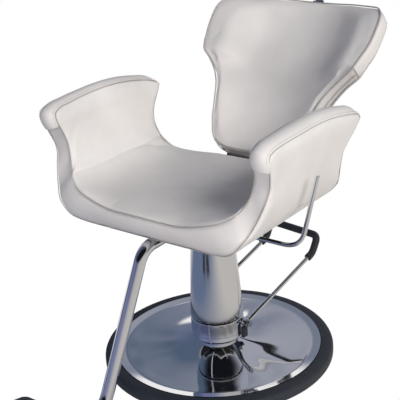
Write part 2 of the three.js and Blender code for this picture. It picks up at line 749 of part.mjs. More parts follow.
// The clamp screw runs from behind the back to the post.
function knobHole(margin) {
  return bar('y', KNOB.stemRadius + margin, POST.rear, KNOB.rear, [0, KNOB.up], 12);
}

function buildHeadrest() {
  const { halfWidth, front, rear, bottom, top } = POST;
  const slotYs = [front - GAP, rear + GAP];
  const slot = box([-halfWidth - GAP, halfWidth + GAP], slotYs, [SOCKET.bottom - 1, SOCKET.top + 1]);
  add(backGroup, 'headrest_socket', cut(socketSolid(0), slot, knobHole(GAP)), steel());
  add(backGroup, 'headrest_knob', join(
    bar('y', KNOB.stemRadius, rear + 2 * GAP, KNOB.front + 1, [0, KNOB.up], 12),
    bar('y', KNOB.radius, KNOB.front, KNOB.rear, [0, KNOB.up], 12),
  ), blackPlastic());
  const tilt = [(front + rear) / 2, HEADREST.up];
  add(backGroup, 'headrest_post', cut(
    join(
      box([-halfWidth, halfWidth], [front, rear], [bottom, top]),
      bar('x', YOKE.barrel, -halfWidth, halfWidth, tilt),
    ),
    bar('x', TILT_PIN.radius + GAP, -halfWidth - 1, halfWidth + 1, tilt),
  ), chrome());
  const pin = bar('x', TILT_PIN.radius, -TILT_PIN.halfLength, TILT_PIN.halfLength, tilt);
  add(backGroup, 'headrest_pin', pin, steel());
  add(backGroup, 'headrest_yoke', yokeGeometry(tilt), blackSteel());
  const outline = roundedRectangle(HEADREST.width, HEADREST.height, HEADREST.corner);
  const pad = alongY(outline, HEADREST.front, HEADREST.front + HEADREST.depth);
  add(backGroup, 'headrest_pad', pad.translate(0, 0, HEADREST.middle), vinyl());
}

// A plate on the back of the pad with two ears that straddle the post.
function yokeGeometry(tilt) {
  const { halfWidth, thickness, below, above, barrel, play } = YOKE;
  const padRear = HEADREST.front + HEADREST.depth;
  const { up } = HEADREST;
  const plate = box([-halfWidth, halfWidth], [padRear + GAP, padRear + thickness], [up - below, up + above]);
  const inner = POST.halfWidth + play;
  const ears = Object.values(SIDES).map((side) => {
    const xs = span(side, inner, inner + thickness);
    return join(box(xs, [padRear + 1, tilt[0]], [up - barrel, up + barrel]), bar('x', barrel, ...xs, tilt));
  });
  return cut(join(plate, ...ears), bar('x', TILT_PIN.radius + GAP, -halfWidth, halfWidth, tilt));
}

// ---- Footrest ----

function buildFootrest() {
  const { radius, start, knee, heel, toe } = FOOT_TUBE;
  const route = bentRoute([start, knee, heel, toe], FOOT_TUBE.bends);
  add(chair, 'footrest_tube', bentBar(route, radius, 26, 6), chrome());
  const cradle = box(FOOT_CRADLE.xs, FOOT_CRADLE.ys, FOOT_CRADLE.zs);
  const tubeHole = bar('y', radius + GAP, knee[1], start[1], [0, start[2]], 20);
  add(chair, 'footrest_cradle', cut(cradle, tubeHole), blackSteel());
  buildFootPlate();
}

function buildFootPlate() {
  const { y, z, tilt, halfWidth, depth, thickness, corner } = FOOT_PLATE;
  const plateGroup = new THREE.Group();
  plateGroup.position.set(0, y, z);
  plateGroup.rotation.x = radians(-tilt);
  chair.add(plateGroup);
  const plate = slab(roundedRectangle(halfWidth * 2, depth, corner), thickness, 5);
  const plateBottom = -thickness - FOOT_MAT.thickness - GAP;
  add(plateGroup, 'foot_plate', plate.translate(0, -depth / 2, plateBottom), blackSteel());
  const margin = 2 * FOOT_MAT.inset;
  const matShape = roundedRectangle(halfWidth * 2 - margin, depth - margin, FOOT_MAT.corner);
  const mat = slab(matShape, FOOT_MAT.thickness, 5);
  add(plateGroup, 'foot_mat', mat.translate(0, -depth / 2, -FOOT_MAT.thickness), blackRubber());
}

buildBase();
buildPump();
buildCollar();
buildPumpLever();
buildColumn();
buildDeck();
buildSeatShell();
buildHinge();
buildLock();
buildLockRod();
buildReleaseLever();
buildBack();
buildHeadrest();
buildFootrest();

export default chair;
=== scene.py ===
import json
import math

import bmesh
import bpy
import numpy as np
from mathutils import Matrix, Vector
from mathutils.bvhtree import BVHTree


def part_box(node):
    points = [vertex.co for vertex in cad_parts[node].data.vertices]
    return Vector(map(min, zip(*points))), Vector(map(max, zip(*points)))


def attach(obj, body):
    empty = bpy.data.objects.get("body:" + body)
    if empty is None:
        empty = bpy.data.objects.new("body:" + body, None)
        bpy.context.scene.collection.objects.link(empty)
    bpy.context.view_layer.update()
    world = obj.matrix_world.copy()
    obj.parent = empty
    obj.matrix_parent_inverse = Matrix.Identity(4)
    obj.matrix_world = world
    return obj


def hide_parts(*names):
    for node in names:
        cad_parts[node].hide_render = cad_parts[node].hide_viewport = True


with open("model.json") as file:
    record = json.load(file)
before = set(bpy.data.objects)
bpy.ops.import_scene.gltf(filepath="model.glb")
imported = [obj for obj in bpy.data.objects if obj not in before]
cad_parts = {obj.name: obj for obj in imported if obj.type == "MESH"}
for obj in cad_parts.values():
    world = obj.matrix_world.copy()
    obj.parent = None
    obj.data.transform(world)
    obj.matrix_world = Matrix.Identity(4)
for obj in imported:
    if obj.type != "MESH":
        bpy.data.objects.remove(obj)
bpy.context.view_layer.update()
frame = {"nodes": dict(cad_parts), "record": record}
NODES = frame["nodes"]
MM = 0.001

# ---------------------------------------------------------------- camera

CAMERA_PLACE = (1.47831, -1.89962, 1.42950)
SENSOR_WIDTH, LENS = 36, 92.46
AZIMUTH, ELEVATION, ROLL = math.radians(38.497), math.radians(22.338), math.radians(-3.760)
BACKWARD = Vector((math.sin(AZIMUTH) * math.cos(ELEVATION), -math.cos(AZIMUTH) * math.cos(ELEVATION),
                   math.sin(ELEVATION)))
SIDEWAYS = Vector((math.cos(AZIMUTH), math.sin(AZIMUTH), 0))
FORWARD = Vector((-math.sin(AZIMUTH), math.cos(AZIMUTH), 0))
UPWARD = BACKWARD.cross(SIDEWAYS)


def make_camera():
    right = math.cos(ROLL) * SIDEWAYS + math.sin(ROLL) * UPWARD
    up = -math.sin(ROLL) * SIDEWAYS + math.cos(ROLL) * UPWARD
    camera = bpy.data.objects.new("camera", bpy.data.cameras.new("camera"))
    bpy.context.scene.collection.objects.link(camera)
    turn = Matrix((right, up, BACKWARD)).transposed().to_4x4()
    camera.matrix_world = Matrix.Translation(CAMERA_PLACE) @ turn
    camera.data.sensor_width = SENSOR_WIDTH
    camera.data.lens = LENS
    bpy.context.scene.camera = camera


make_camera()

# ---------------------------------------------------------------- small tools


def smoothstep(x):
    x = np.clip(x, 0, 1)
    return x * x * (3 - 2 * x)


def hermite(keys, values, at):
    """A smooth curve through the values, with slopes that never overshoot between neighbours."""
    keys, values, at = np.asarray(keys, float), np.asarray(values, float), np.asarray(at, float)
    steps = np.diff(keys)
    rise = np.diff(values) / steps
    slope = np.empty(len(keys))
    slope[0], slope[-1] = rise[0], rise[-1]
    slope[1:-1] = (rise[:-1] * steps[1:] + rise[1:] * steps[:-1]) / (steps[:-1] + steps[1:])
    i = np.clip(np.searchsorted(keys, at) - 1, 0, len(steps) - 1)
    t = np.clip((at - keys[i]) / steps[i], 0, 1)
    h = steps[i]
    return ((2 * t**3 - 3 * t**2 + 1) * values[i] + (t**3 - 2 * t**2 + t) * h * slope[i]
            + (3 * t**2 - 2 * t**3) * values[i + 1] + (t**3 - t**2) * h * slope[i + 1])


def run_along(points):
    """The length of a polyline up to each of its points."""
    return np.concatenate(([0], np.cumsum(np.linalg.norm(np.diff(points, axis=0), axis=1))))


def points_at(at, run, points):
    """The points at the given lengths along a polyline."""
    return np.stack([np.interp(at, run, points[:, k]) for k in range(points.shape[1])], 1)


def smooth_line(points, shares):
    """Resamples a polyline as a smooth curve, at shares of its length."""
    points = np.asarray(points, float)
    length = run_along(points)
    fine = np.linspace(0, length[-1], 800)
    dense = np.stack([hermite(length, points[:, k], fine) for k in range(points.shape[1])], 1)
    run = run_along(dense)
    return points_at(np.asarray(shares, float) * run[-1], run, dense)


def graded(count, first, edges=(True, True)):
    """Shares from 0 to 1 whose steps start small at the chosen ends."""
    steps = np.ones(count)
    ramp = first * (1 / first) ** (np.arange(6) / 6)
    if edges[0]:
        steps[:6] = ramp
    if edges[1]:
        steps[-6:] = ramp[::-1]
    return np.concatenate(([0], np.cumsum(steps))) / steps.sum()


def smooth_object(name, mesh):
    """Puts a mesh in the scene as a smooth-shaded object."""
    mesh.polygons.foreach_set("use_smooth", [True] * len(mesh.polygons))
    obj = bpy.data.objects.new(name, mesh)
    bpy.context.scene.collection.objects.link(obj)
    return obj


def mesh_object(name, verts, faces):
    mesh = bpy.data.meshes.new(name)
    mesh.from_pydata([tuple(map(float, v)) for v in verts], [], [tuple(map(int, f)) for f in faces])
    mesh.update()
    tool = bmesh.new()
    tool.from_mesh(mesh)
    bmesh.ops.remove_doubles(tool, verts=tool.verts, dist=1e-6)
    bmesh.ops.recalc_face_normals(tool, faces=tool.faces)
    tool.to_mesh(mesh)
    tool.free()
    return smooth_object(name, mesh)


def round_corner(before, corner, after, bend, steps):
    """A corner as a curve that starts and ends the length `bend` away from it."""
    if not bend:
        return [corner]
    start, end = [corner + (other - corner) * min(0.49, bend / np.linalg.norm(other - corner))
                  for other in (before, after)]
    return [(1 - t) ** 2 * start + 2 * t * (1 - t) * corner + t * t * end
            for t in np.linspace(0, 1, steps + 1)]


def open_line(points, bends, steps):
    """An open polyline with its inner corners rounded."""
    points = [np.asarray(p, float) for p in points]
    line = [points[0]]
    for before, corner, after, bend in zip(points, points[1:], points[2:], bends):
        line += round_corner(before, corner, after, bend, steps)
    return np.array(line + [points[-1]])


def closed_line(points, bends, steps=6):
    """A closed profile with its corners rounded."""
    points = [np.asarray(p, float) for p in points]
    line = []
    for i, (corner, bend) in enumerate(zip(points, bends)):
        line += round_corner(points[i - 1], corner, points[(i + 1) % len(points)], bend, steps)
    return line


def lathe(name, profile, segments):
    """A closed turned piece. The profile is a closed loop of (radius, height)."""
    profile = np.asarray(profile, float)
    turn = np.linspace(0, 2 * math.pi, segments, endpoint=False)
    rings = np.stack([np.stack([r * np.cos(turn), r * np.sin(turn), np.full_like(turn, z)], 1)
                      for r, z in profile])
    verts = rings.reshape(-1, 3)
    count = len(profile)
    faces = [(i * segments + j, i * segments + (j + 1) % segments,
              (i + 1) % count * segments + (j + 1) % segments, (i + 1) % count * segments + j)
             for i in range(count) for j in range(segments)]
    return mesh_object(name, verts, faces)


def frames_along(path, closed=False):
    """Unit tangents and two turn-free normals along a path."""
    path = np.asarray(path, float)
    if closed:
        tangents = np.roll(path, -1, 0) - np.roll(path, 1, 0)
    else:
        tangents = np.gradient(path, axis=0)
    tangents /= np.linalg.norm(tangents, axis=1)[:, None]
    side = np.array((1.0, 0, 0))
    if abs(side @ tangents[0]) > 0.9:
        side = np.array((0, 1.0, 0))
    sides = []
    for tangent in tangents:
        side = side - tangent * (side @ tangent)
        side = side / np.linalg.norm(side)
        sides.append(side)
    sides = np.array(sides)
    return tangents, sides, np.cross(tangents, sides)


def sweep(name, path, radius, sides=20, closed=False, cap=0.0):
    """A round bar along a path. `radius` may vary along it; `cap` rounds off the open ends."""
    path = np.asarray(path, float)
    radius = np.broadcast_to(np.asarray(radius, float), (len(path),)).copy()
    if cap and not closed:
        tangents = frames_along(path)[0]
        turn = np.linspace(0, math.pi / 2, 5)[1:]
        head = [(path[0] - tangents[0] * cap * math.sin(a), radius[0] - cap * (1 - math.cos(a)))
                for a in turn]
        tail = [(path[-1] + tangents[-1] * cap * math.sin(a), radius[-1] - cap * (1 - math.cos(a)))
                for a in turn]
        path = np.array([p for p, _ in head[::-1]] + list(path) + [p for p, _ in tail])
        radius = np.array([r for _, r in head[::-1]] + list(radius) + [r for _, r in tail])
    _, across, upward = frames_along(path, closed)
    turn = np.linspace(0, 2 * math.pi, sides, endpoint=False)
    rings = (path[:, None] + radius[:, None, None] * (np.cos(turn)[None, :, None] * across[:, None]
                                                     + np.sin(turn)[None, :, None] * upward[:, None]))
    count = len(path)
    verts = list(rings.reshape(-1, 3))
    last = count if closed else count - 1
    faces = [(i * sides + j, i * sides + (j + 1) % sides,
              (i + 1) % count * sides + (j + 1) % sides, (i + 1) % count * sides + j)
             for i in range(last) for j in range(sides)]
    if not closed:
        faces.append(tuple(range(sides))[::-1])
        faces.append(tuple((count - 1) * sides + j for j in range(sides)))
    return mesh_object(name, verts, faces)


def sharpen(obj, degrees=35):
    """Keeps hard edges crisp on a smooth-shaded mesh."""
    tool = bmesh.new()
    tool.from_mesh(obj.data)
    for edge in tool.edges:
        edge.smooth = not (len(edge.link_faces) == 2 and edge.calc_face_angle(0) > math.radians(degrees))
    tool.to_mesh(obj.data)
    tool.free()
    return obj


def finish(obj, body, material, slot, *replaced, subdivide=0):
    """Gives a piece its material, its body, and the nodes that it stands for; `slot` is not used."""
    if subdivide:
        modifier = obj.modifiers.new("subdivide", "SUBSURF")
        modifier.levels = modifier.render_levels = subdivide
    obj.data.materials.clear()
    obj.data.materials.append(material)
    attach(obj, body)
    if replaced:
        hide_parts(*replaced)
    return obj


# ---------------------------------------------------------------- materials


def socket_set(shader, **values):
    names = {"rough": "Roughness", "metal": "Metallic", "coat": "Coat Weight",
             "coat_rough": "Coat Roughness", "sheen": "Sheen Weight", "sheen_rough": "Sheen Roughness",
             "specular": "Specular IOR Level"}
    for key, value in values.items():
        shader.inputs[names[key]].default_value = value


def noise_node(tree, scale, detail=4, roughness=0.5, stretch=None):
    nodes, links = tree.nodes, tree.links
    place = nodes.new("ShaderNodeTexCoord")
    source = place.outputs["Object"]
    if stretch:
        mapping = nodes.new("ShaderNodeMapping")
        mapping.inputs["Scale"].default_value = stretch
        links.new(source, mapping.inputs["Vector"])
        source = mapping.outputs["Vector"]
    noise = nodes.new("ShaderNodeTexNoise")
    noise.inputs["Scale"].default_value = scale
    noise.inputs["Detail"].default_value = detail
    noise.inputs["Roughness"].default_value = roughness
    links.new(source, noise.inputs["Vector"])
    return noise.outputs["Fac"]


def ramp(tree, source, low, high, start=0.3, end=0.7):
    """Spreads a source's values from start to end over the range from low to high."""
    mixer = tree.nodes.new("ShaderNodeMapRange")
    for name, value in (("From Min", start), ("From Max", end), ("To Min", low), ("To Max", high)):
        mixer.inputs[name].default_value = value
    tree.links.new(source, mixer.inputs["Value"])
    return mixer.outputs["Result"]


def tint(tree, source, dark, light):
    mixer = tree.nodes.new("ShaderNodeMix")
    mixer.data_type = "RGBA"
    mixer.inputs["A"].default_value = (*dark, 1)
    mixer.inputs["B"].default_value = (*light, 1)
    tree.links.new(source, mixer.inputs["Factor"])
    return mixer.outputs["Result"]


def bump(tree, shader, source, strength, distance, before=None):
    node = tree.nodes.new("ShaderNodeBump")
    node.inputs["Strength"].default_value = strength
    node.inputs["Distance"].default_value = distance
    tree.links.new(source, node.inputs["Height"])
    if before:
        tree.links.new(before, node.inputs["Normal"])
    tree.links.new(node.outputs["Normal"], shader.inputs["Normal"])
    return node.outputs["Normal"]


def new_material(name):
    material = bpy.data.materials.new(name)
    material.use_nodes = True
    tree = material.node_tree
    return material, tree, tree.nodes["Principled BSDF"]


def vinyl(name, dark, light):
    """Pearl upholstery vinyl: a fine pebble grain, slow tone changes and a soft sheen."""
    material, tree, shader = new_material(name)
    tone = ramp(tree, noise_node(tree, 7, 3), 0, 1)
    tree.links.new(tint(tree, tone, dark, light), shader.inputs["Base Color"])
    socket_set(shader, coat=0.12, coat_rough=0.35, sheen=0.15, sheen_rough=0.4, specular=0.5)
    tree.links.new(ramp(tree, noise_node(tree, 30, 3), 0.42, 0.52), shader.inputs["Roughness"])
    cells = tree.nodes.new("ShaderNodeTexVoronoi")
    cells.feature = "DISTANCE_TO_EDGE"
    cells.inputs["Scale"].default_value = 900
    place = tree.nodes.new("ShaderNodeTexCoord")
    tree.links.new(place.outputs["Object"], cells.inputs["Vector"])
    soft = bump(tree, shader, noise_node(tree, 26, 3), 0.25, 0.0006)
    bump(tree, shader, cells.outputs["Distance"], 0.18, 0.0002, soft)
    return material


def metal(name, color, low, high, scale, stretch=None, wave=0.0):
    """Bare metal, with a roughness that wanders from low to high; `wave` bends its reflections."""
    material, tree, shader = new_material(name)
    dark = tuple(c * 0.96 for c in color)
    tone = noise_node(tree, scale, 5, stretch=stretch)
    tree.links.new(tint(tree, tone, dark, color), shader.inputs["Base Color"])
    socket_set(shader, metal=1.0)
    rough = ramp(tree, noise_node(tree, scale, 6, stretch=stretch), low, high)
    tree.links.new(rough, shader.inputs["Roughness"])
    if wave:
        bump(tree, shader, noise_node(tree, 9, 1, stretch=stretch), wave, 0.002)
    return material


def dull(name, color, rough, grain=400, depth=0.00015, coat=0.0, strength=0.3):
    """Paint, rubber, plastic and the like."""
    material, tree, shader = new_material(name)
    light = tuple(min(1, c * 1.25 + 0.004) for c in color)
    tree.links.new(tint(tree, noise_node(tree, 40, 4), color, light), shader.inputs["Base Color"])
    socket_set(shader, coat=coat, coat_rough=0.3)
    wear = ramp(tree, noise_node(tree, 80, 4), rough * 0.9, min(1, rough * 1.1))
    tree.links.new(wear, shader.inputs["Roughness"])
    bump(tree, shader, noise_node(tree, grain, 3), strength, depth)
    return material


def wood(name):
    """Plywood stained black."""
    material, tree, shader = new_material(name)
    grain = noise_node(tree, 12, 8, 0.6, stretch=(18, 1, 40))
    stain = tint(tree, grain, (0.010, 0.009, 0.009), (0.028, 0.025, 0.022))
    tree.links.new(stain, shader.inputs["Base Color"])
    socket_set(shader, rough=0.6)
    bump(tree, shader, grain, 0.3, 0.0004)
    return material


CHROME = metal("chrome", (0.86, 0.87, 0.89), 0.025, 0.06, 45)
DISH_CHROME = metal("dish_chrome", (0.84, 0.86, 0.89), 0.03, 0.07, 45, wave=0.05)
SLEEVE_CHROME = metal("sleeve_chrome", (0.86, 0.87, 0.89), 0.10, 0.17, 70, stretch=(12, 12, 1))
STEEL = metal("steel", (0.55, 0.56, 0.58), 0.28, 0.42, 90, stretch=(1, 1, 12))
BRONZE = metal("bronze", (0.55, 0.38, 0.18), 0.3, 0.45, 90)
VINYL = vinyl("pearl_vinyl", (0.50, 0.482, 0.472), (0.58, 0.562, 0.55))
# welts and seams: the pearl vinyl at about half its brightness, a painted shade for the dark lines along the
# seams
SEAM_SHADE_VINYL = vinyl("seam_shade_vinyl", (0.27, 0.255, 0.25), (0.34, 0.32, 0.31))
THREAD = dull("thread", (0.42, 0.40, 0.39), 0.7, 3000)
BLACK_STEEL = dull("black_steel", (0.012, 0.012, 0.014), 0.42, 900, coat=0.15)
RUBBER = dull("rubber", (0.014, 0.017, 0.022), 0.55, 700)
GRIP = dull("grip_rubber", (0.010, 0.011, 0.014), 0.45, 260, depth=0.0005, strength=0.6)
PLASTIC = dull("black_plastic", (0.014, 0.014, 0.016), 0.4, 1200)
NYLON = dull("nylon", (0.70, 0.68, 0.62), 0.45, 600)
DUST_COVER = dull("dust_cover", (0.008, 0.008, 0.010), 0.9, 1500, strength=0.6)
WOOD = wood("plywood")
BY_SLOT = {"chrome": CHROME, "steel": STEEL, "black_steel": BLACK_STEEL, "rubber": RUBBER, "bronze": BRONZE,
           "nylon": NYLON, "plywood": WOOD, "vinyl": VINYL, "black_plastic": PLASTIC}

for part in frame["record"]["subparts"]:
    node = NODES[part["node"]]
    node.data.materials.clear()
    node.data.materials.append(BY_SLOT[part["material_slot"]])
    for polygon in node.data.polygons:
        polygon.use_smooth = True
    sharpen(node, 30)

# ---------------------------------------------------------------- padded panels


def fill_patch(front, rear, start, end):
    """Fills a four-sided outline (2-D) between its front and rear edges and its start and end edges."""
    along, across = run_along(front), run_along(start)
    p, q = (along / along[-1])[:, None, None], (across / across[-1])[None, :, None]
    return ((1 - q) * front[:, None] + q * rear[:, None] + (1 - p) * start[None] + p * end[None]
            - (1 - p) * (1 - q) * front[0] - p * (1 - q) * front[-1]
            - (1 - p) * q * rear[0] - p * q * rear[-1])


def rim(m, n):
    """The indices of an m by n grid's outline, in order."""
    return ([(i, 0) for i in range(m)] + [(m - 1, j) for j in range(1, n)]
            + [(i, n - 1) for i in range(m - 2, -1, -1)] + [(0, j) for j in range(n - 2, 0, -1)])


def edge_distance(domain):
    """Distance of every domain point from the outline."""
    m, n = domain.shape[:2]
    ring = np.array([domain[i, j] for i, j in rim(m, n)])
    flat = domain.reshape(-1, 2)
    a, b = ring, np.roll(ring, -1, 0)
    ab = b - a
    size = np.maximum((ab**2).sum(1), 1e-18)
    best = np.full(len(flat), 1e9)
    for k in range(len(a)):
        t = np.clip(((flat - a[k]) @ ab[k]) / size[k], 0, 1)
        best = np.minimum(best, np.linalg.norm(flat - a[k] - t[:, None] * ab[k], axis=1))
    return best.reshape(m, n)


def grid_normals(grid):
    across, along = np.gradient(grid, axis=0), np.gradient(grid, axis=1)
    normal = np.cross(across, along)
    return normal / np.maximum(np.linalg.norm(normal, axis=2), 1e-12)[..., None]


def edge_roll(distance, reach, drop):
    """How far a padded face lies under its crown near the seam."""
    t = np.clip(1 - distance / reach, 0, 1)
    return drop * (1 - np.sqrt(1 - t**2))


class Panel:
    """A padded panel: a front face, a rear face and a boxing strip between their seams."""

    def __init__(self, front, rear, bulge, steps=9, squareness=0.75):
        m, n = front.shape[:2]
        ring = rim(m, n)
        count = len(ring)
        self.front_seam = np.array([front[i, j] for i, j in ring])
        self.rear_seam = np.array([rear[i, j] for i, j in ring])
        middle = (self.front_seam + self.rear_seam) / 2
        tangent = np.roll(middle, -1, 0) - np.roll(middle, 1, 0)
        through = self.rear_seam - self.front_seam
        outward = np.cross(tangent, through)
        outward /= np.linalg.norm(outward, axis=1)[:, None]
        for _ in range(3):
            outward = (np.roll(outward, 1, 0) + 2 * outward + np.roll(outward, -1, 0)) / 4
        outward /= np.linalg.norm(outward, axis=1)[:, None]
        inner = np.array([front[min(max(i, 1), m - 2), min(max(j, 1), n - 2)] for i, j in ring])
        if ((outward * (self.front_seam - inner)).sum(1)).mean() < 0:
            outward = -outward
        self.outward = outward
        self.bulge = np.broadcast_to(np.asarray(bulge, float), (count,))
        self.squareness = squareness
        verts = list(front.reshape(-1, 3)) + list(rear.reshape(-1, 3))
        index = {("f", k): i * n + j for k, (i, j) in enumerate(ring)}
        index.update({("r", k): m * n + i * n + j for k, (i, j) in enumerate(ring)})
        strips = [[index["f", k] for k in range(count)]]
        for step in range(1, steps):
            row = self.band(step / steps)
            strips.append(list(range(len(verts), len(verts) + count)))
            verts.extend(row)
        strips.append([index["r", k] for k in range(count)])
        faces = []
        for i in range(m - 1):
            for j in range(n - 1):
                a, b, c, d = i * n + j, (i + 1) * n + j, (i + 1) * n + j + 1, i * n + j + 1
                faces.append((a, b, c, d))
                faces.append((m * n + d, m * n + c, m * n + b, m * n + a))
        for lower, upper in zip(strips, strips[1:]):
            for k in range(count):
                faces.append((lower[k], lower[(k + 1) % count], upper[(k + 1) % count], upper[k]))
        self.verts, self.faces = verts, faces

    def band(self, share, proud=0.0):
        """A line round the boxing, from its front seam at 0 to its rear seam at 1."""
        swell = (1 - abs(2 * share - 1) ** 2) ** self.squareness
        return (self.front_seam * (1 - share) + self.rear_seam * share
                + self.outward * (self.bulge * swell + proud)[:, None])

    def make(self, name, puff=0.0, pressure=4.0):
        """The panel as an object. Where `puff` is given, it swells by no more than that."""
        obj = mesh_object(name, self.verts, self.faces)
        if puff:
            inflate(obj, puff, pressure)
        return obj


CLOTH_FRAMES = 20


def inflate(obj, cap, pressure):
    """Lets air pressure fill the panel out between its seams, then keeps the result on the mesh."""
    before = np.array([v.co for v in obj.data.vertices])
    bpy.context.view_layer.objects.active = obj
    modifier = obj.modifiers.new("cloth", "CLOTH")
    settings = modifier.settings
    settings.use_pressure = True
    settings.uniform_pressure_force = pressure
    settings.effector_weights.gravity = 0
    settings.quality = 5
    settings.tension_stiffness = settings.compression_stiffness = 18
    settings.bending_stiffness = 2
    modifier.point_cache.frame_start, modifier.point_cache.frame_end = 1, CLOTH_FRAMES
    modifier.collision_settings.use_collision = False
    scene = bpy.context.scene
    for step in range(1, CLOTH_FRAMES + 1):
        scene.frame_set(step)
    shape = obj.evaluated_get(bpy.context.evaluated_depsgraph_get())
    after = np.array([v.co for v in shape.data.vertices])
    obj.modifiers.remove(modifier)
    scene.frame_set(1)
    move = after - before
    length = np.linalg.norm(move, axis=1)[:, None]
    move = np.where(np.isfinite(move), move, 0)
    move *= np.minimum(1, cap / np.maximum(length, 1e-9))
    for vertex, place in zip(obj.data.vertices, before + move):
        vertex.co = place
    obj.data.update()


def piping(name, line, radius):
    return sweep(name, line, radius, 10, closed=True)


STITCH_LENGTH, STITCH_GAP, THREAD_RADIUS, STITCH_LIFT = 0.0042, 0.0022, 0.00045, 0.0003


def stitches(name, line, outward, closed=True):
    """Short threads laid end to end along a line, with their ends sunk in the vinyl."""
    line = np.asarray(line, float)
    ends = np.vstack((line, line[:1])) if closed else line
    out = np.vstack((outward, outward[:1])) if closed else outward
    run = run_along(ends)
    count = int(run[-1] / (STITCH_LENGTH + STITCH_GAP))
    starts = np.arange(count) * run[-1] / count
    shares = np.array((0, 0.2, 0.5, 0.8, 1))
    rise = np.array((-0.6, 0.3, 0.6, 0.3, -0.6)) * STITCH_LIFT * 2
    verts, faces = [], []
    for start in starts:
        at = start + shares * STITCH_LENGTH
        path = points_at(at, run, ends) + points_at(at, run, out) * rise[:, None]
        tangent = path[-1] - path[0]
        tangent /= np.linalg.norm(tangent)
        side = np.cross(tangent, points_at([start], run, out)[0])
        side /= np.linalg.norm(side)
        top = np.cross(side, tangent)
        base = len(verts)
        for point in path:
            for a in range(6):
                turn = a * math.pi / 3
                verts.append(point + THREAD_RADIUS * (math.cos(turn) * side + math.sin(turn) * top))
        for i in range(4):
            for a in range(6):
                faces.append((base + i * 6 + a, base + i * 6 + (a + 1) % 6,
                              base + (i + 1) * 6 + (a + 1) % 6, base + (i + 1) * 6 + a))
    mesh = bpy.data.meshes.new(name)
    mesh.from_pydata([tuple(map(float, v)) for v in verts], [], faces)
    return smooth_object(name, mesh)


# ---------------------------------------------------------------- seat shell

# Stations from the middle of the seat, round the corner and up the arm, in millimetres: the inner face's
# x and z, its front and rear seams in y, then the same for the outer face.
SHELL = np.array([
    (0, 506, -261, 150, 0, 428, -246, 155),
    (100, 506, -260, 149, 120, 428.5, -246, 155),
    (165, 508, -257, 143, 200, 431, -249, 157),
    (205, 516, -251, 128, 245, 443, -254, 162),
    (238, 532, -235, 118, 277, 474, -253, 160),
    (257, 553, -217, 122, 297, 506, -237, 140),
    (269, 580, -205, 125, 312, 545, -219, 122),
    (276, 612, -201, 138, 323, 590, -203, 122),
    (282, 645, -210, 165, 335, 637, -213, 157),
    (283, 675, -222, 178, 343, 676, -226, 178),
    (287, 700, -219, 182, 345, 702, -216, 182),
    (289.5, 722, -215, 182, 345, 722, -212, 182),
]) * MM
# The arm top seams, front to rear: y and height, on the inner and on the outer face.
INNER_TOP = np.array([(-219, 692), (-205, 700), (-170, 704), (-100, 709), (-60, 710), (18, 706),
                      (57, 701), (97, 693), (137, 683), (160, 674), (175, 662)]) * MM
OUTER_TOP = np.array([(-217, 688), (-205, 694), (-170, 697), (-100, 699), (-60, 700), (18, 697),
                      (57, 692), (97, 684), (137, 675), (160, 667), (177, 657)]) * MM


def shell_face(columns, tops, grid_p, grid_q):
    """The face as a grid of points and of (run round the U, depth) pairs."""
    x, z, y_front, y_rear = (SHELL[:, c] for c in columns)
    stations = np.arange(len(SHELL))
    fine = np.linspace(0, len(SHELL) - 1, 1200)
    fx, fz = hermite(stations, x, fine), hermite(stations, z, fine)
    run = np.concatenate(([0], np.cumsum(np.hypot(np.diff(fx), np.diff(fz)))))
    at_run = lambda s: (np.interp(s, run, fx), np.interp(s, run, fz))
    arm = fine > 5
    run_of_height = lambda height: np.interp(height, fz[arm], run[arm])
    front = grid_p * np.interp(run_of_height(tops[0, 1]), run, fine)
    rear = grid_p * np.interp(run_of_height(tops[-1, 1]), run, fine)
    front_edge = np.stack((np.interp(front, fine, run), hermite(stations, y_front, front)), 1)
    rear_edge = np.stack((np.interp(rear, fine, run), hermite(stations, y_rear, rear)), 1)
    top = np.stack((run_of_height(tops[:, 1]), tops[:, 0]), 1)
    top[0], top[-1] = front_edge[-1], rear_edge[-1]
    top = smooth_line(top, grid_q)
    centre = np.stack((np.zeros(len(grid_q)), y_front[0] + (y_rear[0] - y_front[0]) * grid_q), 1)
    domain = fill_patch(front_edge, rear_edge, centre, top)
    domain[0, :, 0] = 0
    gx, gz = at_run(domain[..., 0])
    whole = np.concatenate((domain[:0:-1] * (-1, 1), domain))
    points = np.stack((np.concatenate((-gx[:0:-1], gx)), whole[..., 1], np.concatenate((gz[:0:-1], gz))), 2)
    return points, whole


NOSE_STATION = 9  # where the arm's nose begins
EDGE_STEP = 0.22  # the grids' first step at a seam, as a share of their usual step


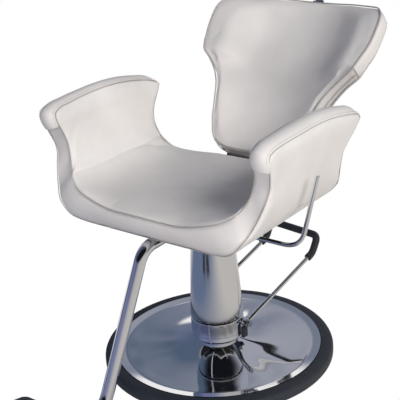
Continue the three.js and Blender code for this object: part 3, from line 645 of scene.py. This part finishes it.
def build_seat():
    mid = np.stack(((SHELL[:, 0] + SHELL[:, 4]) / 2, (SHELL[:, 1] + SHELL[:, 5]) / 2), 1)
    length = run_along(mid)
    shares = graded(108, EDGE_STEP, (False, True))
    grid_p = np.interp(shares, length / length[NOSE_STATION], np.arange(len(SHELL)) / NOSE_STATION)
    grid_p /= grid_p[-1]
    grid_q = graded(64, EDGE_STEP)
    inner, inner_domain = shell_face((0, 1, 2, 3), INNER_TOP, grid_p, grid_q)
    outer, outer_domain = shell_face((4, 5, 6, 7), OUTER_TOP, grid_p, grid_q)
    shape_faces(inner, inner_domain, outer, outer_domain)
    # the boxing swells most at the arm tops and noses, and is drawn in under the noses
    ring = rim(*inner.shape[:2])
    height = np.array([inner[i, j][2] + outer[i, j][2] for i, j in ring]) / 2
    depth = np.array([inner[i, j][1] + outer[i, j][1] for i, j in ring]) / 2
    front = smoothstep((-0.185 - depth) / 0.03)
    low = smoothstep((0.56 - height) / 0.08)
    top = smoothstep((height - 0.66) / 0.02) * smoothstep((0.172 - depth) / 0.03)
    bulge = 0.006 + 0.006 * low + 0.0105 * np.maximum(top, front * smoothstep((height - 0.62) / 0.03))
    for _ in range(2):
        bulge = (np.roll(bulge, 1) + 2 * bulge + np.roll(bulge, -1)) / 4
    under_nose = front * (1 - smoothstep((height - 0.646) / 0.011)) * (1 - low)
    bulge = bulge * (1 - under_nose) - 0.001 * under_nose
    panel = Panel(inner, outer, bulge, steps=11, squareness=0.62)
    shell = panel.make("seat_upholstery", puff=0.003, pressure=3.0)
    finish(shell, "seat", VINYL, "vinyl", "seat_shell", subdivide=1)
    for label, line in (("inner", panel.front_seam), ("outer", panel.rear_seam)):
        welt = piping(f"seat_welt_{label}", line + panel.outward * 0.0002, 0.0012)
        finish(welt, "seat", SEAM_SHADE_VINYL, "vinyl")
    for label, share in (("inner", 0.05), ("outer", 0.95)):
        threads = stitches(f"seat_stitching_{label}", panel.band(share, 0.0002), panel.outward)
        finish(threads, "seat", THREAD, "vinyl")


def shape_faces(inner, inner_domain, outer, outer_domain):
    """Crowns both faces of the shell and rolls them down to their seams, in place."""
    distance = edge_distance(inner_domain)
    normal = grid_normals(inner)
    if normal[len(inner) // 2, 20, 2] < 0:
        normal = -normal
    inner -= normal * edge_roll(distance, 0.020, 0.0045)[..., None]
    width = np.abs(inner[..., 0])
    front_gap = inner_domain[..., 1] - inner_domain[:, :1, 1]
    waterfall = 0.014 * (1 - smoothstep((width - 0.09) / 0.11)) * np.exp(-(front_gap / 0.045) ** 1.6)
    inner[..., 2] -= waterfall
    rear_gap = inner_domain[:, -1:, 1] - inner_domain[..., 1]
    corner = smoothstep((width - 0.06) / 0.12) * (1 - smoothstep((width - 0.215) / 0.03))
    inner[..., 2] -= 0.006 * corner * np.exp(-(rear_gap / 0.05) ** 1.6)
    distance = edge_distance(outer_domain)
    normal = grid_normals(outer)
    if normal[len(outer) // 2, 20, 2] > 0:
        normal = -normal
    outer -= normal * edge_roll(distance, 0.018, 0.004)[..., None]


def build_dust_cover():
    """A black cloth stapled under the seat, from the front seam to the rear one."""
    half_width, front, rear = 0.232, -0.232, 0.146
    x = np.linspace(-half_width, half_width, 61)
    y = np.linspace(front, rear, 41)
    height = np.interp(np.abs(x), SHELL[:, 4], SHELL[:, 5]) - 0.0009
    gx, gy = np.meshgrid(x, y, indexing="ij")
    gz = np.repeat(height[:, None], len(y), 1) - 0.0004 * np.sin((gx * 37 + gy * 23)) ** 2
    verts = np.stack((gx, gy, gz), 2).reshape(-1, 3)
    n = len(y)
    faces = [(i * n + j, (i + 1) * n + j, (i + 1) * n + j + 1, i * n + j + 1)
             for i in range(len(x) - 1) for j in range(n - 1)]
    cover = mesh_object("dust_cover", verts, faces)
    finish(cover, "seat", DUST_COVER, "black_plastic")
    thickness = cover.modifiers.new("thickness", "SOLIDIFY")
    thickness.thickness, thickness.offset = 0.0004, 0


build_seat()
build_dust_cover()

# ---------------------------------------------------------------- back

LEAN = math.radians(45)
BACK_ORIGIN = np.array((0, 0.190, 0.495))
BACK_UP = np.array((0, math.sin(LEAN), math.cos(LEAN)))
BACK_FRONT = np.array((0, -math.cos(LEAN), math.sin(LEAN)))
CUP_FRONT, CUP_REAR = 0.400, 0.392
BACK_SIDE = np.array([(126, 28), (133, 40), (139, 57), (146, 80), (150.5, 108), (154.5, 128), (159, 148),
                      (165, 168), (174, 188), (184, 205), (197, 222), (215, 241), (234, 258.5), (240, 276),
                      (244, 302), (247.5, 330), (249, 352), (249.5, 380), (247, 404), (240, 424)]) * MM
BACK_TOP = np.array([(240, 424), (221, 445), (195, 457.5), (161, 467.5), (115, 476), (79, 480), (40, 483),
                     (0, 484)]) * MM
BACK_FOOT = np.array([(126, 28), (117, 18), (104, 11), (88, 8), (66, 8), (33, 8.5), (0, 8.5)]) * MM


def back_point(x, s, n):
    x, s, n = (np.asarray(v, float)[..., None] for v in (x, s, n))
    return BACK_ORIGIN + x * np.array((1.0, 0, 0)) + s * BACK_UP + n * BACK_FRONT


def mirrored(line):
    """A whole line from its left half, which starts in the middle."""
    return np.concatenate((line[:0:-1] * (-1, 1), line))


def back_domain(grid_p, grid_q, inset=0.0):
    """The back's outline and what is inside it, as a grid of (across, up the back) pairs."""
    side = smooth_line(BACK_SIDE, grid_q)
    foot = mirrored(smooth_line(BACK_FOOT[::-1], grid_p))
    top = mirrored(smooth_line(BACK_TOP[::-1], grid_p))
    domain = fill_patch(foot, top, side * (-1, 1), side)
    if inset:
        middle = np.array((0, 0.2435))
        size = np.array((0.25, 0.2435))
        domain = middle + (domain - middle) * (1 - inset / size)
    return domain


def back_face(domain, depth, cup=CUP_REAR, lumbar=0.0):
    """A cupped face at a depth behind the middle of the front face."""
    x, s = domain[..., 0], domain[..., 1]
    swell = lumbar * np.exp(-((s - 0.150) / 0.085) ** 2)
    return back_point(x, s, cup - np.sqrt(cup**2 - x**2) - depth + swell)


def wing_shares(domain):
    """How far each point belongs to a wing, and how far it is above the wing's lower corner."""
    wing = smoothstep((domain[..., 1] - 0.22) / 0.05) * smoothstep((np.abs(domain[..., 0]) - 0.10) / 0.10)
    return wing, smoothstep((domain[..., 1] - 0.26) / 0.08)


def rear_of(domain):
    """Where the rear edge lies: the wings' boxing is deeper and leans outward."""
    wing, upper = wing_shares(domain)
    wider = domain * np.stack((1 + 0.03 * wing * upper, np.ones(wing.shape)), -1)
    return wider, 0.044 + wing * (0.010 + 0.012 * upper)


def build_back():
    grid_p, grid_q = graded(46, EDGE_STEP, (False, True)), graded(84, EDGE_STEP)
    domain = back_domain(grid_p, grid_q)
    front = back_face(domain, 0.0, CUP_FRONT, 0.020)
    rear = back_face(*rear_of(domain))
    distance = edge_distance(domain)
    wing, upper = wing_shares(domain)
    normal = grid_normals(front)
    if (normal[20, 20] @ BACK_FRONT) < 0:
        normal = -normal
    crown = 0.001 + wing * (0.021 - 0.009 * upper)
    slope = 0.019 * wing * np.clip(1 - distance / 0.058, 0, 1) ** 2
    front += normal * (crown - slope - edge_roll(distance, 0.022, 0.005))[..., None]
    rear += normal * edge_roll(distance, 0.010, 0.002)[..., None]
    panel = Panel(front, rear, 0.0035, steps=9, squareness=0.7)
    back = panel.make("back_upholstery", puff=0.004, pressure=4.0)
    finish(back, "backrest", VINYL, "vinyl", "back_cushion", subdivide=1)
    for label, line in (("front", panel.front_seam), ("rear", panel.rear_seam)):
        finish(piping(f"back_welt_{label}", line, 0.0019), "backrest", SEAM_SHADE_VINYL, "vinyl")
    for label, share in (("front", 0.08), ("rear", 0.92)):
        finish(stitches(f"back_stitching_{label}", panel.band(share, 0.0002), panel.outward),
               "backrest", THREAD, "vinyl")
    build_cross_seams(panel, domain)
    build_rear_panel(grid_p, grid_q)


WING_CORNER = (0.231, 0.2575)


def build_cross_seams(panel, domain):
    """The boxing is pieced at the lower corner of each wing, and below that it is two strips."""
    ring = np.array([domain[i, j] for i, j in rim(*domain.shape[:2])])
    ends = [int(np.argmin(np.linalg.norm(ring - WING_CORNER * np.array((side, 1)), axis=1)))
            for side in (-1, 1)]
    for label, k in zip(("right", "left"), ends):
        line = np.array([panel.band(share, 0.0004)[k] for share in np.linspace(0.03, 0.97, 14)])
        finish(sweep(f"boxing_seam_{label}", line, 0.0011, 8), "backrest", SEAM_SHADE_VINYL, "vinyl")
    low = [k % len(ring) for k in range(max(ends), max(ends) + len(ring))
           if ring[k % len(ring), 1] < WING_CORNER[1]]
    start = next(i for i, k in enumerate(low) if (k - low[i - 1]) % len(ring) != 1)
    low = low[start:] + low[:start]
    finish(sweep("boxing_strip_seam", panel.band(0.52, 0.0002)[low], 0.0010, 8), "backrest", SEAM_SHADE_VINYL, "vinyl")
    for label, share in (("upper", 0.46), ("lower", 0.58)):
        threads = stitches(f"strip_stitching_{label}", panel.band(share, 0.0002)[low], panel.outward[low],
                           closed=False)
        finish(threads, "backrest", THREAD, "vinyl")


def build_rear_panel(grid_p, grid_q):
    domain = back_domain(grid_p, grid_q, inset=0.004)
    domain, behind = rear_of(domain)
    front = back_face(domain, behind + 0.0005)
    rear = back_face(domain, behind + 0.0085)
    distance = edge_distance(domain)
    normal = grid_normals(rear)
    if (normal[20, 20] @ BACK_FRONT) > 0:
        normal = -normal
    rear += normal * (-edge_roll(distance, 0.014, 0.004) - 0.0002)[..., None]
    panel = Panel(front, rear, 0.001, steps=4)
    cover = panel.make("back_rear_cover")
    finish(cover, "backrest", VINYL, "vinyl", "back_panel", subdivide=1)
    finish(piping("back_rear_welt", panel.rear_seam, 0.0014), "backrest", SEAM_SHADE_VINYL, "vinyl")


build_back()

# ---------------------------------------------------------------- headrest pad


def build_headrest():
    low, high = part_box("headrest_pad")
    half_width = (high.x - low.x) / 2
    centre = Vector(((low.x + high.x) / 2, (low.y + high.y) / 2, (low.z + high.z) / 2))
    height, depth, corner = 0.125, 0.058, 0.045
    x, z = half_width - 0.004, height / 2 - 0.004

    def bow(up, *degrees):
        """Points on a rounded corner, the upper one or the lower one."""
        return [(x - corner + corner * math.cos(turn), up * (z - corner + corner * math.sin(turn)))
                for turn in np.radians(degrees)]

    def half_edge(up):
        """The upper or the lower edge, from the middle to the corner."""
        line = bow(up, 45, 60, 75, 90) + [(x * 0.3, up * z), (0, up * z)]
        return smooth_line(line[::-1], graded(40, 0.25, (False, True)))

    edge = smooth_line(bow(-1, 45, 30, 15, 0) + [(x, 0)] + bow(1, 0, 15, 30, 45), graded(30, 0.3))
    domain = fill_patch(mirrored(half_edge(-1)), mirrored(half_edge(1)), edge * (-1, 1), edge)
    distance = edge_distance(domain)
    across = np.array((1.0, 0, 0))
    place = lambda forward: (np.array(centre) + domain[..., :1] * across + domain[..., 1:] * BACK_UP
                             + forward[..., None] * BACK_FRONT)
    crown = 0.010 * (1 - (domain[..., 0] / x) ** 2) * (1 - (domain[..., 1] / z) ** 2)
    front = place(depth / 2 - 0.010 + crown - edge_roll(distance, 0.024, 0.010) + 0.004)
    rear = place(-depth / 2 + edge_roll(distance, 0.010, 0.003) + 0.0004)
    panel = Panel(front, rear, 0.004, steps=9)
    pad = panel.make("headrest_cushion", puff=0.003)
    finish(pad, "headrest", VINYL, "vinyl", "headrest_pad", subdivide=1)
    for label, line in (("front", panel.front_seam), ("rear", panel.rear_seam)):
        finish(piping(f"headrest_welt_{label}", line, 0.0019), "headrest", SEAM_SHADE_VINYL, "vinyl")
    finish(stitches("headrest_stitching", panel.band(0.12, 0.0002), panel.outward),
           "headrest", THREAD, "vinyl")


build_headrest()

# ---------------------------------------------------------------- turned chrome and the base ring


def build_base():
    outer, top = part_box("base_ring")[1].xz
    rim_radius, dish_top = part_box("base_dish")[1].xz
    inner = rim_radius + 0.3 * MM
    ring = closed_line(
        [(inner, 0), (outer - 3 * MM, 0), (outer, 4 * MM), (outer, top - 9 * MM),
         (outer - 4 * MM, top - 2.6 * MM), (outer - 15 * MM, top), (inner + 1 * MM, top),
         (inner, top - 1.5 * MM)],
        [0, 2 * MM, 2 * MM, 4 * MM, 3 * MM, 4 * MM, 1 * MM, 0.5 * MM], 4)
    finish(lathe("base_rim", ring, 200), "base", RUBBER, "rubber", "base_ring")
    build_dish(rim_radius, dish_top)


def build_dish(rim_radius, dish_top):
    """The dish falls fast from the collar to a shallow gutter, and turns up to a lip along the ring."""
    hole, lip_height, skin = 0.060, 0.031, 3 * MM
    gutter, gutter_height, fall_length = 0.250, 0.028, 0.038
    fall = lambda r: gutter_height + (dish_top - gutter_height) * math.exp(-(r - hole) / fall_length)
    upper = [(r, fall(r)) for r in hole + (gutter - hole) * np.linspace(0, 0.985, 90)]
    lip = open_line([upper[-2], (gutter, gutter_height), (rim_radius, lip_height)], (4 * MM,), 8)
    upper += [tuple(point) for point in lip[1:]]
    lower = [(r, z - skin) for r, z in upper[::-1]]
    dish = lathe("base_cover", upper + lower, 240)
    for vertex in dish.data.vertices:  # the pressing's slight waves
        radius, turn = math.hypot(vertex.co.x, vertex.co.y), math.atan2(vertex.co.y, vertex.co.x)
        share = smoothstep((radius - 0.08) / 0.08) * (1 - smoothstep((radius - 0.215) / 0.03))
        vertex.co.z += 0.0005 * share * math.sin(9 * turn + 2.0 * math.sin(3 * turn + 1.0))
    finish(sharpen(dish), "base", DISH_CHROME, "chrome", "base_dish")


def build_collar():
    low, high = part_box("collar_lower")
    radius, seam = high.x, high.z
    bore = 0.046
    lower = closed_line(
        [(bore, low.z), (radius - 6 * MM, low.z), (radius, low.z + 8 * MM), (radius, seam), (bore, seam)],
        [0, 2 * MM, 3 * MM, 1.2 * MM, 0])
    finish(sharpen(lathe("collar_foot", lower, 200), 50), "base", CHROME, "chrome", "collar_lower")
    low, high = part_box("collar_upper")
    upper = closed_line(
        [(bore, low.z), (radius, low.z), (radius, high.z - 2 * MM), (radius - 2 * MM, high.z),
         (bore, high.z)],
        [0, 1.2 * MM, 2 * MM, 2 * MM, 0])
    finish(sharpen(lathe("collar_cap", upper, 200), 50), "base", CHROME, "chrome", "collar_upper")


def build_sleeve():
    low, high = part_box("column_sleeve")
    bottom, top, wall = high.x, 0.0545, 2.5 * MM
    profile = closed_line(
        [(bottom - wall, low.z), (bottom, low.z), (bottom - 0.2 * MM, low.z + 5 * MM), (top, high.z),
         (top - wall, high.z)],
        [0.8 * MM, 1.5 * MM, 4 * MM, 0.8 * MM, 0.8 * MM])
    finish(sharpen(lathe("column_shroud", profile, 240), 60), "seat", SLEEVE_CHROME, "chrome",
           "column_sleeve")


build_base()
build_collar()
build_sleeve()

# ---------------------------------------------------------------- bent bars


def build_footrest_tube():
    radius = 15.5 * MM
    route = open_line(np.array([(0, -100, 412), (0, -269, 412), (0, -461, 60.5), (0, -690, 109.2)]) * MM,
                      (36 * MM, 55 * MM), 24)
    finish(sweep("footrest_leg", route, radius, 48, cap=2 * MM), "seat", CHROME, "chrome", "footrest_tube")


# The pump lever, in millimetres: its shaft, the U-bar's legs and upturned end, and its grip.
LEVER_TURN, LEVER_RISE = math.radians(-7.4), math.radians(19.3)
LEVER_Y, LEVER_Z, LEVER_HALF_WIDTH = 23, 104, 84
LEG_START, LEG_LENGTH, GRIP_ON_LEG = 10.6, 294, 22
UPTURN_Y, UPTURN_Z = 23, 43


def lever_point(x, y, z):
    return (x * math.cos(LEVER_TURN) - y * math.sin(LEVER_TURN),
            x * math.sin(LEVER_TURN) + y * math.cos(LEVER_TURN), z)


def lever_route(first):
    """The U-bar's centre line, from a length along one leg to the same length along the other."""
    along = lambda run: (LEVER_Y + run * math.cos(LEVER_RISE), LEVER_Z + run * math.sin(LEVER_RISE))
    elbow = along(LEG_LENGTH)
    half = [along(first), elbow, (elbow[0] + UPTURN_Y, elbow[1] + UPTURN_Z)]
    corners = ([(LEVER_HALF_WIDTH, y, z) for y, z in half]
               + [(-LEVER_HALF_WIDTH, y, z) for y, z in half[::-1]])
    points = np.array([lever_point(*c) for c in corners]) * MM
    return open_line(points, (18 * MM,) * 4, 14)


def even_steps(path, step):
    run = run_along(path)
    return points_at(np.linspace(0, run[-1], int(run[-1] / step)), run, path)


def build_pump_lever():
    finish(sweep("lever_rod", even_steps(lever_route(LEG_START), 2 * MM), 5.4 * MM, 28),
           "pump_lever", CHROME, "chrome", "lever_bar")
    path = even_steps(lever_route(LEG_LENGTH - GRIP_ON_LEG), 1.1 * MM)
    run = np.linspace(0, 1, len(path))
    rng = np.random.default_rng(5)
    # the grip wrinkles, more so towards its ends
    wrinkle = np.convolve(rng.normal(0, 1, len(path) + 8), np.ones(3) / 3, "same")[4:-4]
    near_end = np.exp(-((run / 0.13) ** 2)) + np.exp(-(((1 - run) / 0.13) ** 2))
    radius = 10.1 * MM + 0.00035 * wrinkle * (0.25 + near_end)
    grip = sweep("grip_sleeve", path, radius, 28, cap=1.2 * MM)
    finish(grip, "pump_lever", GRIP, "rubber", "lever_grip")


def build_release_lever():
    route = np.array([(-12, -60, 399), (306, -60, 399), (355, -60, 590)]) * MM
    path = even_steps(open_line(route, (50 * MM,), 24), 3 * MM)
    finish(sweep("release_handle", path, 5.5 * MM, 28, cap=1.2 * MM), "release_lever", CHROME, "chrome",
           "release_lever")


build_footrest_tube()
build_pump_lever()
build_release_lever()

# ---------------------------------------------------------------- light, floor and world


def make_world():
    """White to the camera; to everything else a studio that is warm on the key's side and blue opposite."""
    world = bpy.data.worlds.new("studio")
    bpy.context.scene.world = world
    world.use_nodes = True
    tree = world.node_tree
    nodes, links = tree.nodes, tree.links
    background = nodes["Background"]
    place = nodes.new("ShaderNodeTexCoord")
    direction = place.outputs["Generated"]

    def along(axis, low, high):
        """From 0 to 1 as the direction's share along the axis goes from low to high."""
        dot = nodes.new("ShaderNodeVectorMath")
        dot.operation = "DOT_PRODUCT"
        dot.inputs[1].default_value = tuple(axis)
        links.new(direction, dot.inputs[0])
        span = nodes.new("ShaderNodeMapRange")
        span.interpolation_type = "SMOOTHSTEP"
        for name, value in (("From Min", low), ("From Max", high), ("To Min", 0), ("To Max", 1)):
            span.inputs[name].default_value = value
        links.new(dot.outputs["Value"], span.inputs["Value"])
        return span.outputs["Result"]

    def blend(factor, a, b):
        mixer = nodes.new("ShaderNodeMix")
        mixer.data_type = "RGBA"
        links.new(factor, mixer.inputs["Factor"])
        for name, value in (("A", a), ("B", b)):
            if isinstance(value, tuple):
                mixer.inputs[name].default_value = (*value, 1)
            else:
                links.new(value, mixer.inputs[name])
        return mixer.outputs["Result"]

    up = (0, 0, 1)
    near_side = along(FORWARD, 0.3, -0.4)
    far_walls = blend(along(SIDEWAYS, -0.45, 0.45), (0.10, 0.13, 0.22), (0.28, 0.29, 0.35))
    near_walls = blend(along(SIDEWAYS, -0.7, 0.4), (0.19, 0.21, 0.36), (0.52, 0.50, 0.48))
    walls = blend(near_side, far_walls, near_walls)
    far_ceiling = blend(along(SIDEWAYS, -0.16, 0.14), (0.09, 0.125, 0.19), (0.38, 0.385, 0.44))
    ceiling = blend(near_side, far_ceiling, (0.008, 0.008, 0.012))
    room = blend(along(up, 0.35, 0.55), walls, ceiling)
    # a white card on the far side, which the dish's lip reflects
    card = blend(along(SIDEWAYS, -0.08, -0.05), room, (1.0, 0.97, 0.94))
    card = blend(along(SIDEWAYS, 0.05, 0.08), card, room)
    card = blend(along(FORWARD, 0.6, 0.7), room, card)
    card = blend(along(up, 0.24, 0.27), room, card)
    room = blend(along(up, 0.37, 0.41), card, room)
    light_path = nodes.new("ShaderNodeLightPath")
    seen = blend(light_path.outputs["Is Camera Ray"], room, (1.0, 1.0, 1.0))
    links.new(seen, background.inputs["Color"])
    background.inputs["Strength"].default_value = 1.0


def area_light(name, place, size, power, color):
    """A soft light that faces the chair and shows in no reflection."""
    light = bpy.data.objects.new(name, bpy.data.lights.new(name, "AREA"))
    light.data.shape = "RECTANGLE"
    light.data.size, light.data.size_y = size
    light.data.energy = power
    light.data.color = color
    light.visible_glossy = False
    light.location = place
    light.rotation_euler = (Vector(place) - Vector((0, 0, 0.5))).to_track_quat("Z", "Y").to_euler()
    bpy.context.scene.collection.objects.link(light)


def floor_material():
    """A pale floor that reads white, and throws warm light from the key's side and blue from the other."""
    material, tree, _ = new_material("pale_floor")
    nodes, links = tree.nodes, tree.links
    place = nodes.new("ShaderNodeNewGeometry")

    def across(axis, low, high):
        """From 0 to 1 as the distance along the axis goes from low to high, in metres."""
        dot = nodes.new("ShaderNodeVectorMath")
        dot.operation = "DOT_PRODUCT"
        dot.inputs[1].default_value = tuple(axis)
        links.new(place.outputs["Position"], dot.inputs[0])
        return ramp(tree, dot.outputs["Value"], 0, 1, low, high)

    glow = nodes.new("ShaderNodeEmission")
    sides = tint(tree, across(SIDEWAYS, -0.5, 0.35), (0.13, 0.17, 0.27), (0.55, 0.52, 0.49))
    behind = nodes.new("ShaderNodeMix")
    behind.data_type = "RGBA"
    links.new(across(FORWARD, 0.35, 0.9), behind.inputs["Factor"])
    links.new(sides, behind.inputs["A"])
    behind.inputs["B"].default_value = (1.0, 0.95, 0.90, 1)
    links.new(behind.outputs["Result"], glow.inputs["Color"])
    white = nodes.new("ShaderNodeEmission")
    white.inputs["Color"].default_value = (1, 1, 1, 1)
    light_path = nodes.new("ShaderNodeLightPath")
    mixer = nodes.new("ShaderNodeMixShader")
    links.new(light_path.outputs["Is Camera Ray"], mixer.inputs[0])
    links.new(glow.outputs[0], mixer.inputs[1])
    links.new(white.outputs[0], mixer.inputs[2])
    links.new(mixer.outputs[0], nodes["Material Output"].inputs["Surface"])
    return material


def make_stage():
    mesh = bpy.data.meshes.new("floor")
    size = 30.0
    corners = [(-size, -size, 0), (size, -size, 0), (size, size, 0), (-size, size, 0)]
    mesh.from_pydata(corners, [], [(0, 1, 2, 3)])
    floor = bpy.data.objects.new("floor", mesh)
    floor.location.z = -0.0005
    bpy.context.scene.collection.objects.link(floor)
    mesh.materials.append(floor_material())
    make_world()
    area_light("key", (5.5, -1.1, 4.4), (3.8, 2.6), 505, (1.0, 0.99, 0.965))
    area_light("fill", (1.2, -2.9, 0.4), (2.0, 1.4), 84, (1.0, 0.955, 0.92))


make_stage()
bpy.context.scene.view_settings.view_transform = "Standard"
